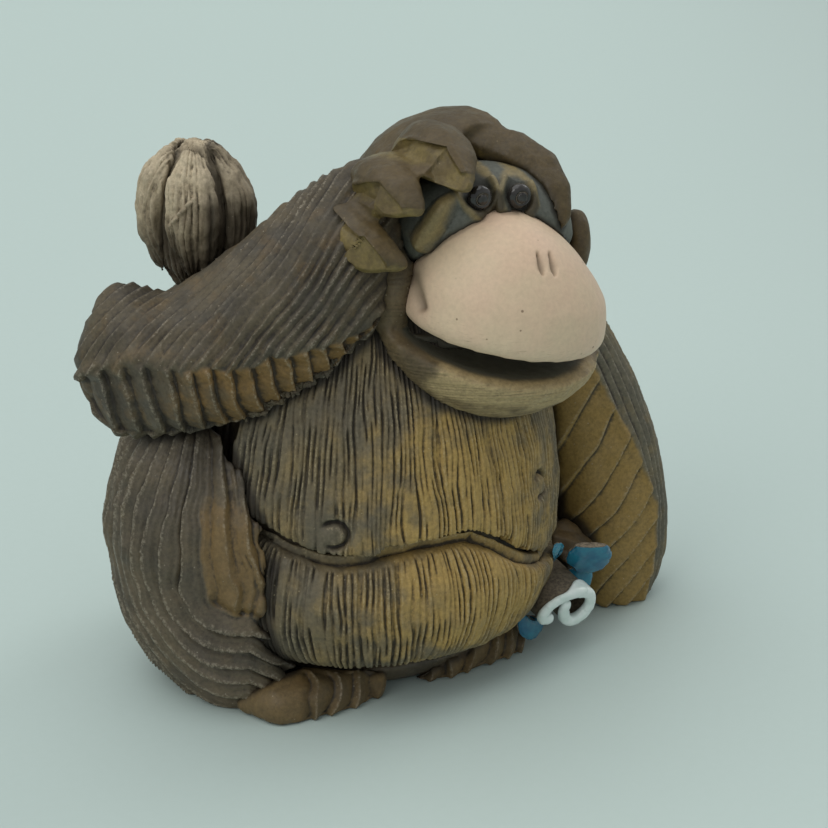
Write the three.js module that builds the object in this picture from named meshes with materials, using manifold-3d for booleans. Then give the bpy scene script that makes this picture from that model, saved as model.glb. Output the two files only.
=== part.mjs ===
// A hand-built stoneware ape: a hollow pinched body with slabs, limbs, head, flower and tail
// modelled as separate pieces of clay that are luted together before firing.
// Millimetres, +Z up. The ape faces -Y, and its right side is at -X.
import * as THREE from "three";
import { mergeVertices } from "three/addons/utils/BufferGeometryUtils.js";
import Module from "manifold-3d";

const wasm = await Module();
wasm.setup();

// ---- driving dimensions ------------------------------------------------------------------

const WALL = 6; // thickness of the pinched body
const SEAM = 0.3; // clear gap between two neighbouring pieces
const VENT_RADIUS = 4.5; // hole that lets air and steam out of the hollow body in the kiln
const BASE_THICKNESS = 5;
const MIDLINE_X = -4; // the body's own middle plane
const SLAB_FRONT_Y = -4; // the chest and belly slabs end at this plane on the flanks

const HEAD_PLACE = new THREE.Vector3(8, -9, 71.5);
const HEAD_YAW = -13; // degrees, towards the ape's right
const HEAD_ROLL = 12; // degrees, its left side down
const HEAD_PITCH = 3; // degrees, nose down

const EYE_SPREAD = 3.2; // from the nose line to the middle of an eye
const EYE_RADIUS = 2.2;
const NOSE_LINE = -3; // the eyes sit a little to the right of the head's own middle
const TOE_PITCH = 4.6;
const ROLL_WALL = 1; // thickness of the rolled slab that makes the flower's throat
// Each petal: degrees round the flower's axis from the ape's left, distance from the axis,
// distance from the throat's back end, and half of its width.
const PETALS = [
  [43, 7, 5.2, 4.7],
  [116, 7.2, 4.2, 3.6],
  [216, 7.2, 6, 4.4],
  [-14, 6.4, 2.6, 3.6],
];
const LOCKS = 5;

// ---- materials ----------------------------------------------------------------------------

const clay = (color, roughness = 0.85) =>
  new THREE.MeshStandardMaterial({ color, roughness, metalness: 0 });
const MATERIALS = {
  brown: clay(0x5d5140),
  olive: clay(0x6f6136),
  combed: clay(0x7c6a45),
  bisque: clay(0xc9a88c),
  eye: clay(0x2c2723, 0.3),
  blue: clay(0x1f6d86, 0.25),
  white: clay(0xe4ebe8, 0.1),
  tuft: clay(0x8c7a62),
};

// ---- solids from three.js geometries --------------------------------------------------------

const rad = THREE.MathUtils.degToRad;

// Only the positions, with shared vertices merged.
function bare(geometry) {
  const plain = geometry.clone();
  plain.deleteAttribute("normal");
  plain.deleteAttribute("uv");
  return mergeVertices(plain, 1e-3);
}

function solid(geometry) {
  const merged = bare(geometry);
  return new wasm.Manifold(
    new wasm.Mesh({
      numProp: 3,
      vertProperties: merged.getAttribute("position").array,
      triVerts: new Uint32Array(merged.index.array),
    }),
  );
}

function surface(body) {
  const mesh = body.getMesh();
  const made = new THREE.BufferGeometry();
  made.setAttribute("position", new THREE.BufferAttribute(mesh.vertProperties, 3));
  made.setIndex(new THREE.BufferAttribute(mesh.triVerts, 1));
  return made;
}

// The same form with every vertex moved outwards.
function grown(geometry, by) {
  const merged = bare(geometry);
  merged.computeVertexNormals();
  const place = merged.getAttribute("position");
  const normal = merged.getAttribute("normal");
  for (let i = 0; i < place.count; i++) {
    place.setXYZ(
      i,
      place.getX(i) + by * normal.getX(i),
      place.getY(i) + by * normal.getY(i),
      place.getZ(i) + by * normal.getZ(i),
    );
  }
  return merged;
}

// A form less its neighbours, with the seam's gap.
function fitted(form, ...neighbours) {
  return neighbours.reduce(
    (body, other) => body.subtract(solid(grown(other, SEAM))),
    solid(form),
  );
}

function block(low, high) {
  const size = high.map((value, i) => value - low[i]);
  const centre = high.map((value, i) => (value + low[i]) / 2);
  return new THREE.BoxGeometry(...size).translate(...centre);
}

const GROUND = solid(block([-200, -200, -100], [200, 200, 0]));
const onGround = (body) => body.subtract(GROUND);

function ball(centre, radii, across = 20, down = 12) {
  return new THREE.SphereGeometry(1, across, down)
    .rotateX(Math.PI / 2)
    .scale(...radii)
    .translate(...centre);
}

const power = (value, exponent) => Math.sign(value) * Math.abs(value) ** exponent;

// A closed form lofted along a spine. Each station is [x, y, z, half-width along side, other half-width].
// side is the direction of the first half-width; fullness rounds the ends, and square the sections.
function loft(stations, options = {}) {
  const {
    sides = 24,
    rings = 16,
    fullness = 3,
    square = 2,
    side = new THREE.Vector3(1, 0, 0),
    upright = false,
  } = options;
  const spine = new THREE.CatmullRomCurve3(
    stations.map(([x, y, z]) => new THREE.Vector3(x, y, z)),
  );
  const widths = new THREE.CatmullRomCurve3(
    stations.map(([, , , a, b]) => new THREE.Vector3(a, b, 0)),
  );
  const form = bare(new THREE.SphereGeometry(1, sides, rings));
  const place = form.getAttribute("position");
  for (let i = 0; i < place.count; i++) {
    const along = THREE.MathUtils.clamp(place.getY(i), -1, 1);
    const t = (along + 1) / 2;
    const cap = Math.max(0, 1 - Math.abs(along) ** fullness) ** (1 / fullness);
    const angle = Math.atan2(place.getZ(i), place.getX(i));
    const tangent = upright ? new THREE.Vector3(0, 0, 1) : spine.getTangent(t);
    const first = side.clone().addScaledVector(tangent, -side.dot(tangent)).normalize();
    const second = new THREE.Vector3().crossVectors(tangent, first);
    const width = widths.getPoint(t);
    const pole = Math.abs(along) > 0.9999 ? 0 : cap;
    const at = spine
      .getPoint(t)
      .addScaledVector(first, pole * width.x * power(Math.cos(angle), 2 / square))
      .addScaledVector(second, -pole * width.y * power(Math.sin(angle), 2 / square));
    place.setXYZ(i, at.x, at.y, at.z);
  }
  return form;
}

// Everything on the far side of a plane, along its normal.
function beyond(point, normal) {
  const turn = new THREE.Quaternion().setFromUnitVectors(
    new THREE.Vector3(0, 0, 1),
    normal.clone().normalize(),
  );
  return new THREE.BoxGeometry(300, 300, 300)
    .translate(0, 0, 150)
    .applyQuaternion(turn)
    .translate(point.x, point.y, point.z);
}

// ---- the assembly ----------------------------------------------------------------------------

const ape = new THREE.Group();

function add(name, body, material) {
  const geometry = surface(body);
  geometry.computeBoundingBox();
  const centre = geometry.boundingBox.getCenter(new THREE.Vector3());
  geometry.translate(-centre.x, -centre.y, -centre.z);
  geometry.computeVertexNormals();
  const mesh = new THREE.Mesh(geometry, material);
  mesh.name = name;
  mesh.position.copy(centre);
  ape.add(mesh);
}

// ---- torso: a hollow pinched form in two halves, closed below by a vented plate ----------------

const upright = { upright: true };
const torsoStations = [
  [MIDLINE_X, 4, -4, 26, 22],
  [MIDLINE_X, 3, 12, 29, 25],
  [MIDLINE_X, 3, 30, 30, 26],
  [MIDLINE_X, 3, 48, 27.5, 22],
  [-3, 3, 60, 22, 17],
  [-2, 2, 70, 15, 13],
];
const widened = (stations, by) =>
  stations.map(([x, y, z, a, b]) => [x, y, z, a + by, b + by]);

const torso = loft(torsoStations, { ...upright, sides: 24, rings: 12, fullness: 4 });
const hollow = loft(
  [
    [MIDLINE_X, 4, 5 - WALL, 25 - WALL, 22 - WALL],
    [MIDLINE_X, 3, 16, 29 - WALL, 25 - WALL],
    [MIDLINE_X, 3, 32, 30 - WALL, 26 - WALL],
    [MIDLINE_X, 3, 48, 26 - WALL, 21 - WALL],
    [-3, 3, 64 - WALL, 17 - WALL, 14 - WALL],
  ],
  { ...upright, sides: 16, rings: 8, fullness: 3 },
);
const SPLIT_Y = 3; // the two halves of the body meet here
const plateLevel = (top) => solid(block([-60, -60, -10], [60, 60, top]));
const frontHalf = solid(block([-60, -60, -10], [60, SPLIT_Y, 90]));
const backHalf = solid(block([-60, SPLIT_Y + SEAM, -10], [60, 60, 90]));
const vent = solid(
  new THREE.CylinderGeometry(VENT_RADIUS, VENT_RADIUS, 30, 24)
    .rotateX(Math.PI / 2)
    .translate(MIDLINE_X, 6, 0),
);
const walls = solid(torso)
  .subtract(solid(hollow))
  .subtract(plateLevel(BASE_THICKNESS + SEAM));

add(
  "base_plate",
  onGround(solid(torso)).intersect(plateLevel(BASE_THICKNESS)).subtract(vent),
  MATERIALS.brown,
);
add("torso_front_shell", walls.intersect(frontHalf), MATERIALS.brown);
add("torso_back_shell", walls.intersect(backHalf), MATERIALS.brown);

// ---- chest and belly slabs ----------------------------------------------------------------------

const BELLY_BOTTOM = 8.5; // the belly slab ends this far above the ground
const CHEST_TOP = 65; // the chest slab ends here, under the chin

// The chest hangs in two lobes over the belly; this is all that lies above its lower edge.
function aboveFold(lower) {
  const edge = new THREE.Shape();
  edge.moveTo(-70, 100);
  edge.lineTo(-70, 36 - lower);
  edge.lineTo(-33, 34 - lower);
  edge.quadraticCurveTo(-29, 28.5 - lower, -22, 29.5 - lower);
  edge.quadraticCurveTo(-12, 32 - lower, -4.5, 31 - lower);
  edge.quadraticCurveTo(1, 29 - lower, 6, 24.5 - lower);
  edge.quadraticCurveTo(14, 19 - lower, 20, 21 - lower);
  edge.lineTo(70, 24 - lower);
  edge.lineTo(70, 100);
  return solid(
    new THREE.ExtrudeGeometry(edge, { depth: 80, bevelEnabled: false, curveSegments: 5 })
      .rotateX(Math.PI / 2)
      .translate(0, SLAB_FRONT_Y, 0),
  );
}

const slabOptions = { ...upright, sides: 28, rings: 14, fullness: 4 };
const chestForm = loft(
  widened(torsoStations, 4).map(([x, y, z, a, b]) => [x - 1.2, y, z, a - 1.2, b]),
  slabOptions,
);
const bellyForm = loft(
  [
    [-5.8, 1, 2, 26.2, 20],
    [-6.1, 1, 10, 29.9, 28],
    [-6.2, 1, 20, 31.8, 30],
    [-6.2, 2, 30, 30.8, 28],
    [-5.4, 3, 44, 29.6, 25],
  ],
  { ...slabOptions, rings: 11, fullness: 3 },
);
const insideSlabs = solid(grown(torso, SEAM));
add(
  "chest_slab",
  solid(chestForm)
    .intersect(aboveFold(0))
    .subtract(insideSlabs)
    .subtract(solid(block([-60, -60, CHEST_TOP], [60, 60, 120]))),
  MATERIALS.combed,
);
add(
  "belly_slab",
  solid(bellyForm)
    .subtract(solid(block([-60, SLAB_FRONT_Y, -20], [60, 60, 90])))
    .subtract(aboveFold(SEAM))
    .subtract(insideSlabs)
    .subtract(solid(block([-60, -60, -20], [60, 60, BELLY_BOTTOM]))),
  MATERIALS.combed,
);

// ---- haunches and feet ------------------------------------------------------------------------------

const rightHaunch = loft(
  [
    [-29.5, 5, -4, 12.5, 19],
    [-31.5, 6.5, 9, 15, 19.5],
    [-33, 6.5, 23, 16, 20],
    [-33.5, 7, 36, 14.8, 18.5],
    [-32.5, 8, 50, 12, 14],
  ],
  { ...upright, sides: 22, rings: 11, fullness: 3 },
);
const leftHaunch = loft(
  [
    [18, 9, -4, 9, 16],
    [20, 10, 8, 13, 18],
    [23, 11, 22, 15, 19],
    [23, 12, 36, 13, 17],
    [20, 13, 48, 9, 12],
  ],
  { ...upright, sides: 20, rings: 11, fullness: 3 },
);
const trunk = [torso, chestForm, bellyForm];
const bellySpace = solid(grown(bellyForm, SEAM)).subtract(
  solid(block([-60, -60, -20], [60, 60, BELLY_BOTTOM - SEAM])),
);

add("right_haunch", onGround(fitted(rightHaunch, ...trunk)), MATERIALS.brown);

// A foot is a low cushion of clay with five toes along its front edge.
function foot(x, y, length, gap = 0) {
  const sole = ball([x, y, 1.5], [length / 2 + gap, 8 + gap, 6 + gap], 16, 8);
  const toes = Array.from({ length: 5 }, (_, i) =>
    ball(
      [x + (i - 2) * TOE_PITCH, y - 5.5 + 0.25 * (i - 2) ** 2, 1.5],
      [2.2 + gap, 3.4 + gap, 4.6 + gap],
      8,
      6,
    ),
  );
  return toes.reduce((body, toe) => body.add(solid(toe)), solid(sole));
}
const RIGHT_FOOT = [-24, -8, 27]; // x, y and length
const LEFT_FOOT = [4, -8, 25];
const leftFootSpace = foot(...LEFT_FOOT, SEAM);
function besides(body, ...neighbours) {
  return neighbours.reduce((left, other) => left.subtract(solid(grown(other, SEAM))), body);
}
add(
  "right_foot",
  onGround(besides(foot(...RIGHT_FOOT), torso, bellyForm, rightHaunch)),
  MATERIALS.brown,
);
add(
  "left_foot",
  onGround(besides(foot(...LEFT_FOOT), torso, bellyForm, leftHaunch)),
  MATERIALS.brown,
);

// ---- head ----------------------------------------------------------------------------------------------

const headFrame = new THREE.Matrix4()
  .makeTranslation(HEAD_PLACE)
  .multiply(
    new THREE.Matrix4().makeRotationFromEuler(
      new THREE.Euler(rad(HEAD_PITCH), rad(HEAD_ROLL), rad(HEAD_YAW), "ZYX"),
    ),
  );
const onHead = (geometry) => geometry.applyMatrix4(headFrame);

const skull = onHead(ball([-0.5, 4, 0.5], [17, 17, 16.5], 18, 11));
const mask = onHead(ball([NOSE_LINE + 0.5, -7, 5.5], [14.5, 9, 10.5], 18, 11));
const muzzle = onHead(
  loft(
    [
      [1.5, -12, -14, 9, 8],
      [1.5, -12.5, -8, 16.8, 15.5],
      [1, -13, -1, 15.5, 14.5],
      [-0.5, -13.5, 6, 10.5, 10.5],
      [-1.5, -13.5, 10.5, 5, 6],
    ],
    { ...upright, sides: 24, rings: 14, fullness: 3.5 },
  ),
);
const jaw = onHead(ball([1, -8, -10], [19.5, 17.5, 14], 24, 13));
const jowl = onHead(ball([-16.3, -6, -6.2], [4.6, 7, 8], 14, 9)); // the cheek above the jaw's corner
const underLip = solid(onHead(block([-40, -60, -60], [40, 40, -8.8])));
const overJaw = solid(onHead(block([-40, -60, -8.2], [40, 40, 60]).rotateX(rad(13))));
const eyePlaces = [-1, 1].map((sign) => [
  NOSE_LINE + sign * EYE_SPREAD,
  -15,
  12.5 + 0.5 * sign,
]);

add("skull", fitted(skull, torso, chestForm), MATERIALS.brown);
const sockets = eyePlaces.map((place) => solid(onHead(ball(place, [3, 3.4, 3], 12, 8))));
add(
  "face_mask",
  sockets.reduce((body, socket) => body.subtract(socket), fitted(mask, skull, muzzle)),
  MATERIALS.brown,
);
add("muzzle", fitted(muzzle, skull, chestForm).subtract(underLip), MATERIALS.bisque);
add(
  "lower_jaw",
  fitted(jaw, skull, torso, chestForm)
    .subtract(overJaw)
    .add(fitted(jowl, skull, mask, muzzle, torso, chestForm)),
  MATERIALS.olive,
);
["right_eye", "left_eye"].forEach((name, i) => {
  const eye = onHead(ball(eyePlaces[i], [EYE_RADIUS, EYE_RADIUS, EYE_RADIUS], 12, 8));
  add(name, fitted(eye, muzzle, skull), MATERIALS.eye);
});
const leftEar = onHead(ball([16.2, -0.5, 1], [2.6, 4.6, 7.5], 12, 8));
add("left_ear", fitted(leftEar, skull, mask, muzzle, jaw), MATERIALS.olive);

// ---- right arm, raised so that its hand lies on the head --------------------------------------------------

const alongY = new THREE.Vector3(0, 1, 0);
const rightArm = loft(
  [
    [-52.6, 12, 54.5, 8, 9],
    [-46, 10.5, 55.5, 10.5, 12],
    [-37, 5, 57.4, 13.5, 10],
    [-28, -1.5, 62.8, 13.5, 11],
    [-18.5, -5, 70.5, 12.5, 11.5],
    [-10, -5, 79, 10, 10.5],
    [-4, -4, 86, 7, 8],
  ],
  { side: alongY, sides: 20, rings: 13, fullness: 3, square: 2.3 },
);
const head = [skull, mask, muzzle, jaw, jowl];
add(
  "right_arm",
  fitted(rightArm, ...head, torso, chestForm, rightHaunch),
  MATERIALS.brown,
);

// The palm is a cap of clay over the crown. The fingers are pointed wedges that hang from its
// front edge: [x, y, z, half-width along across, half-thickness] from knuckle to tip.
const palm = onHead(ball([-1, 3.5, 3], [20, 20.5, 18.2], 20, 12));
const PALM_EDGES = [
  [new THREE.Vector3(0, -11, 90), new THREE.Vector3(0.1, -1, -0.2)], // towards the fingers
  [new THREE.Vector3(0, 0, 79), new THREE.Vector3(0.25, -0.1, -1)], // underneath
  [new THREE.Vector3(11.5, 0, 92), new THREE.Vector3(1, 0, 0.4)], // towards the left ear
];
const palmCap = (gap) =>
  PALM_EDGES.reduce((cap, [edge, away]) => {
    const moved = edge.clone().addScaledVector(away.clone().normalize(), gap);
    return cap.subtract(solid(beyond(moved, away)));
  }, solid(grown(palm, gap)));
const FINGERS = [
  {
    name: "right_little_finger",
    across: [0.35, 0.1, 1],
    stations: [
      [-19, -3, 79, 6.5, 4.5],
      [-18.4, -11, 78.6, 5.8, 4.5],
      [-16.5, -17, 77.6, 3.6, 3.4],
      [-13.4, -22, 75.8, 0.7, 0.7],
    ],
  },
  {
    name: "right_ring_finger",
    across: [0.7, 0, 0.7],
    stations: [
      [-10.4, -6, 85, 5.2, 4.2],
      [-12, -12, 86, 5, 4.2],
      [-12.8, -19, 86, 3.8, 3],
      [-12, -24, 84.6, 0.7, 0.7],
    ],
  },
  {
    name: "right_middle_finger",
    across: [1, 0, 0.15],
    stations: [
      [-1.6, -7, 89.2, 6.2, 4.2],
      [-3, -12, 90.3, 6, 4.4],
      [-4.4, -19.5, 89.8, 4.8, 3.4],
      [-4.8, -25.5, 87.2, 0.8, 0.8],
    ],
  },
  {
    name: "right_index_finger",
    across: [0.8, 0.5, -0.3],
    stations: [
      [6.4, -7, 89, 4.6, 3.8],
      [10.8, -12.2, 87.6, 4.4, 4],
      [14.4, -17, 85, 3.8, 3.6],
      [14.4, -21.6, 81.4, 2.9, 2.7],
      [13.8, -24.2, 77.6, 0.8, 0.8],
    ],
  },
];
const fingerForms = FINGERS.map(({ across, stations }) =>
  loft(stations, {
    side: new THREE.Vector3(...across),
    sides: 10,
    rings: 8,
    fullness: 4,
    square: 1.4,
  }),
);
add("right_palm", besides(palmCap(0), ...head, rightArm), MATERIALS.olive);
fingerForms.forEach((form, i) => {
  const body = fitted(form, ...head, rightArm, ...fingerForms.slice(0, i));
  add(FINGERS[i].name, body.subtract(palmCap(SEAM)), MATERIALS.olive);
});

// ---- left arm, hand and flower -----------------------------------------------------------------------------

const leftArm = loft(
  [
    [40, -4, -5, 9, 9.5],
    [41, -3, 8, 11, 10.8],
    [39, -2, 20, 11.6, 12],
    [36, -1, 32, 11.8, 12.5],
    [31.5, 1, 46, 11, 12],
    [26.5, 3, 57, 10, 11],
    [21, 4, 66, 7, 8],
  ],
  { ...upright, sides: 22, rings: 14, fullness: 3.5, square: 2.2 },
);
add(
  "left_arm",
  onGround(fitted(leftArm, ...head, leftEar, ...trunk)),
  MATERIALS.brown,
);
add("left_haunch", onGround(fitted(leftHaunch, ...trunk, leftArm)), MATERIALS.brown);

const FLOWER = new THREE.Vector3(20.5, -12, 12.2); // the back end of the rolled throat
const FLOWER_LENGTH = 10.5;
const FLOWER_DROOP = 12; // degrees that the mouth of the flower hangs down

const flowerFrame = new THREE.Matrix4()
  .makeTranslation(FLOWER)
  .multiply(new THREE.Matrix4().makeRotationX(rad(90 + FLOWER_DROOP)));
const onFlower = (geometry) => geometry.applyMatrix4(flowerFrame);

// The throat of the flower is one narrow slab rolled into a tube, with its outer end left loose.
const ROLL_PATH = [
  [-2.6, 1.5],
  [-2.7, -0.4],
  [-1.9, -2.2],
  [-0.4, -2.9],
  [1.5, -2.2],
  [2.7, -0.3],
  [2.2, 1.9],
  [0, 2.9],
  [-2.5, 3],
  [-4.6, 2.6],
  [-6.5, 1.4],
  [-7.2, 0.1],
  [-6.5, -0.9],
  [-5.4, -0.8],
];
function rolledThroat() {
  const path = new THREE.CatmullRomCurve3(ROLL_PATH.map(([x, y]) => new THREE.Vector3(x, y, 0)));
  const edge = (side) =>
    Array.from({ length: 34 }, (_, i) => {
      const at = path.getPointAt(i / 33);
      const along = path.getTangentAt(i / 33);
      return new THREE.Vector2(
        at.x - 0.5 * side * ROLL_WALL * along.y,
        at.y - 0.6 + 0.5 * side * ROLL_WALL * along.x,
      );
    });
  const band = new THREE.Shape([...edge(1), ...edge(-1).reverse()]);
  return onFlower(
    new THREE.ExtrudeGeometry(band, { depth: FLOWER_LENGTH, bevelEnabled: false }),
  );
}
const throatEnvelope = onFlower(
  ball([-2.1, -0.4, FLOWER_LENGTH / 2], [6.2, 4.7, 60], 20, 13),
);
const throat = solid(rolledThroat());
add("flower_throat", throat.subtract(bellySpace), MATERIALS.white);

const petals = PETALS.map(([degrees, ring, along, half]) =>
  onFlower(
    ball([0, 0, 0], [0.85 * half, half, 1.2], 12, 8)
      .rotateY(rad(-24))
      .translate(ring, 0, along)
      .rotateZ(rad(degrees)),
  ),
);
petals.forEach((petal, i) => {
  const room = fitted(petal, throatEnvelope, torso, leftArm, ...petals.slice(0, i));
  add(
    "petal_" + (i + 1),
    onGround(room).subtract(bellySpace).subtract(leftFootSpace),
    MATERIALS.blue,
  );
});
const leftHand = ball([25, -8, 12.4], [8, 6, 6.6], 14, 9);
add(
  "left_hand",
  onGround(fitted(leftHand, ...trunk, leftArm, leftHaunch, throatEnvelope, ...petals)),
  MATERIALS.brown,
);

// ---- tail ----------------------------------------------------------------------------------------------------

const tail = loft(
  [
    [-6, 26, 4, 5, 5],
    [-16, 31, 14, 5, 5],
    [-26, 30, 32, 4.6, 4.6],
    [-30, 24, 50, 4.2, 4.2],
    [-29.6, 18.5, 64, 3.8, 3.8],
  ],
  { sides: 12, rings: 10, fullness: 5, side: new THREE.Vector3(0.8, 0.6, 0) },
);
const tuftCore = loft(
  [
    [-29.6, 18, 64.6, 3.6, 3.6],
    [-29, 18, 70, 5.5, 5.5],
    [-28, 18, 77, 7, 7],
    [-27.5, 18, 83, 6, 6],
    [-27.4, 18, 88.5, 2.6, 2.6],
  ],
  { ...upright, sides: 16, rings: 10, fullness: 4 },
);
add("tail", onGround(fitted(tail, ...trunk, rightHaunch, rightArm)), MATERIALS.brown);
add("tail_tuft_core", fitted(tuftCore, rightArm, tail), MATERIALS.tuft);

// Flat locks of clay wrap the core like the leaves of a bud.
const lockForms = Array.from({ length: LOCKS }, (_, i) => {
  const angle = rad(-123 + (360 / LOCKS) * i);
  const outwards = new THREE.Vector3(Math.cos(angle), Math.sin(angle), 0);
  const lay = (z, radius, width, thickness) => [
    -28 + radius * outwards.x,
    18 + radius * outwards.y,
    z,
    width,
    thickness,
  ];
  return loft([lay(67, 5.4, 2.5, 1.2), lay(75, 7.6, 4.2, 1.7), lay(82, 7, 4, 1.7), lay(88, 3.4, 2, 1.2)], {
    ...upright,
    side: new THREE.Vector3(-outwards.y, outwards.x, 0),
    sides: 12,
    rings: 9,
    fullness: 3,
  });
});
lockForms.forEach((form, i) => {
  add(
    "tuft_lock_" + (i + 1),
    fitted(form, tuftCore, rightArm, tail, ...lockForms.slice(0, i)),
    MATERIALS.tuft,
  );
});

// The origin is the middle of the bottom of the whole figure.
ape.updateMatrixWorld(true);
const whole = new THREE.Box3().setFromObject(ape);
const centre = whole.getCenter(new THREE.Vector3());
ape.children.forEach((piece) => {
  piece.position.sub(new THREE.Vector3(centre.x, centre.y, whole.min.z));
});

export default ape;
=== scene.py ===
"""Looks of the hand-built clay ape: carved and combed clay, glazes, floor, lights and camera."""

import math

import bmesh
import bpy
import numpy as np
from mathutils import Matrix, Vector
from mathutils.bvhtree import BVHTree


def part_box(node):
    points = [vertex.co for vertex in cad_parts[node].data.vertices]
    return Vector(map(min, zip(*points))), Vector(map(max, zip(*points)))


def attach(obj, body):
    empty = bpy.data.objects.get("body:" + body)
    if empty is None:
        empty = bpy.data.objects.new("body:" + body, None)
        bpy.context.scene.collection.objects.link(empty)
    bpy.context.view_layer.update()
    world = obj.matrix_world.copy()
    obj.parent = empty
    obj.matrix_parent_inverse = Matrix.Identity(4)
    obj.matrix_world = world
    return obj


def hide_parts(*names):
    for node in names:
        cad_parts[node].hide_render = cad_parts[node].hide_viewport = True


MM = 0.001
JOINT_REACH = 2.2  # mm from a neighbour within which the joint is darkened with painted shade
TRUNK_RADIUS = 30.0
TUFT = ["tail_tuft_core"] + ["tuft_lock_%d" % i for i in range(1, 6)]
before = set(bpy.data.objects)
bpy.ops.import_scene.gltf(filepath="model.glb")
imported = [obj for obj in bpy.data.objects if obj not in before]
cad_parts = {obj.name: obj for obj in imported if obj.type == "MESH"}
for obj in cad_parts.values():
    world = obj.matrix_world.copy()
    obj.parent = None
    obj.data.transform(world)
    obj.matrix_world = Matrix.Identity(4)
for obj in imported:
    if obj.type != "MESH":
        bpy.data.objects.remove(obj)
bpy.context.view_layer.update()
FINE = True


# ---- numbers -----------------------------------------------------------------------------------------


def hashed(i, seed):
    h = i[..., 0] * 73856093 ^ i[..., 1] * 19349663 ^ i[..., 2] * 83492791 ^ seed * 2654435761
    h = (h ^ (h >> 13)) * 1274126177
    return ((h ^ (h >> 16)) & 0xFFFF) / 32767.5 - 1.0


def noise(p, seed=0):
    """Smooth value noise from -1 to 1 at each row of p."""
    p = np.asarray(p, float)
    i = np.floor(p).astype(np.int64)
    f = p - i
    f = f * f * (3 - 2 * f)
    total = 0.0
    for corner in range(8):
        o = np.array([corner & 1, corner >> 1 & 1, corner >> 2])
        w = np.prod(np.where(o, f, 1 - f), axis=-1)
        total = total + w * hashed(i + o, seed)
    return total


def fractal(p, octaves=3, seed=0):
    return sum(noise(p * 2**k, seed + k) / 2**k for k in range(octaves))


def ramp(x, low, high):
    t = np.clip((x - low) / (high - low), 0, 1)
    return t * t * (3 - 2 * t)


def plane(u, v, seed=0):
    return noise(np.stack([u, v, np.full_like(u, 0.37)], -1), seed)


def place(node, fx, fy, fz):
    """A point inside a CAD node's box, by fractions of its size, in millimetres."""
    low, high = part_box(node)
    return np.array([l + (h - l) * f for l, h, f in zip(low, high, (fx, fy, fz))]) / MM


# The side that the figure shows: its right, its up, and out of it towards who looks.
ACROSS = np.array([0.839, -0.545, 0.0])
UPWARD = np.array([0.204, 0.314, 0.927])
TOWARD = np.array([-0.505, -0.778, 0.375])


def front_view(p, origin):
    """Millimetres across and up the side that the figure shows, from an origin."""
    return (p - origin) @ ACROSS, (p - origin) @ UPWARD


def segment_distance(p, a, b):
    """Distance from each point to the segment, and the share along it."""
    a, b = np.asarray(a, float), np.asarray(b, float)
    d = b - a
    t = np.clip((p - a) @ d / (d @ d), 0, 1)
    return np.linalg.norm(p - a - t[:, None] * d, axis=1), t


# ---- forms -------------------------------------------------------------------------------------------


def link(obj):
    bpy.context.scene.collection.objects.link(obj)
    return obj


def baked(obj):
    """Applies the object's modifiers."""
    graph = bpy.context.evaluated_depsgraph_get()
    mesh = bpy.data.meshes.new_from_object(obj.evaluated_get(graph))
    old = obj.data
    obj.modifiers.clear()
    obj.data = mesh
    bpy.data.meshes.remove(old)
    return obj


def form(name, nodes, grow=0.2, voxel=1.2, smooth=8, levels=2, hull=False):
    """One closed skin over CAD nodes, rounded as pressed clay is."""
    joined = bmesh.new()
    for node in nodes:
        one = bmesh.new()
        one.from_mesh(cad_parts[node].data)
        bmesh.ops.remove_doubles(one, verts=one.verts, dist=2e-5)
        if hull:
            made = bmesh.ops.convex_hull(one, input=one.verts)
            inside = [v for v in one.verts if not v.link_faces or v in made["geom_interior"]]
            bmesh.ops.delete(one, geom=inside, context="VERTS")
        bmesh.ops.recalc_face_normals(one, faces=one.faces)
        one.normal_update()
        for v in one.verts:
            v.co += v.normal * grow * MM
        piece = bpy.data.meshes.new("piece")
        one.to_mesh(piece)
        one.free()
        joined.from_mesh(piece)
        bpy.data.meshes.remove(piece)
    mesh = bpy.data.meshes.new(name)
    joined.to_mesh(mesh)
    joined.free()
    obj = link(bpy.data.objects.new(name, mesh))
    remesh = obj.modifiers.new("remesh", "REMESH")
    remesh.mode = "VOXEL"
    remesh.voxel_size = voxel * MM
    relax = obj.modifiers.new("relax", "SMOOTH")
    relax.factor = 0.5
    relax.iterations = smooth
    if levels:
        finer = obj.modifiers.new("finer", "SUBSURF")
        finer.levels = finer.render_levels = levels
    return baked(obj)


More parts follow.
